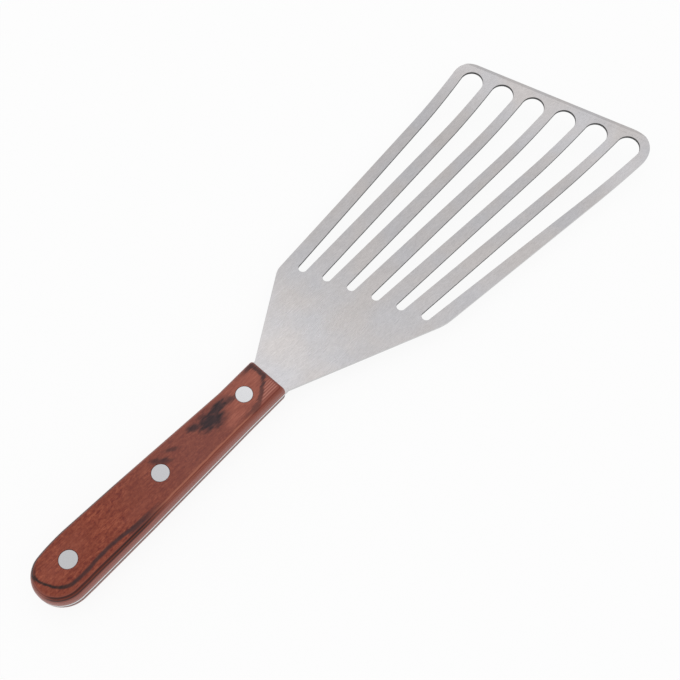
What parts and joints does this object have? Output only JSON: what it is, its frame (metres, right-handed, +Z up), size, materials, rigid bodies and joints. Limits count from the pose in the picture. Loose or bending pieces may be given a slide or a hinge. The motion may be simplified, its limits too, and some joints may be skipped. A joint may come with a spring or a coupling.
{
  "type": "fish spatula",
  "caption": "Slotted fish spatula: flaring steel blade with a slanted, upturned bevelled edge, and a full tang between riveted wooden handle scales.",
  "frame": {"origin": "centre of the object's bounding box in X and Y, on the plane of the handle's flat underside", "axes": "+X along the handle from the butt to the blade's front edge, +Y to the left of someone holding it, +Z up out of the blade's upper face"},
  "size_m": [0.343, 0.1042, 0.014],
  "materials": {
    "steel": "satin, finely brushed stainless sheet",
    "wood": "resin-filled laminated hardwood, polished red-brown with dark figure",
    "rivet": "smooth satin, ground flush with the wood"
  },
  "bodies": {
    "root": {"blade": "steel", "upper_scale": "wood", "lower_scale": "wood", "rear_rivet_male": "rivet", "rear_rivet_female": "rivet", "middle_rivet_male": "rivet", "middle_rivet_female": "rivet", "front_rivet_male": "rivet", "front_rivet_female": "rivet"}
  },
  "joints": []
}
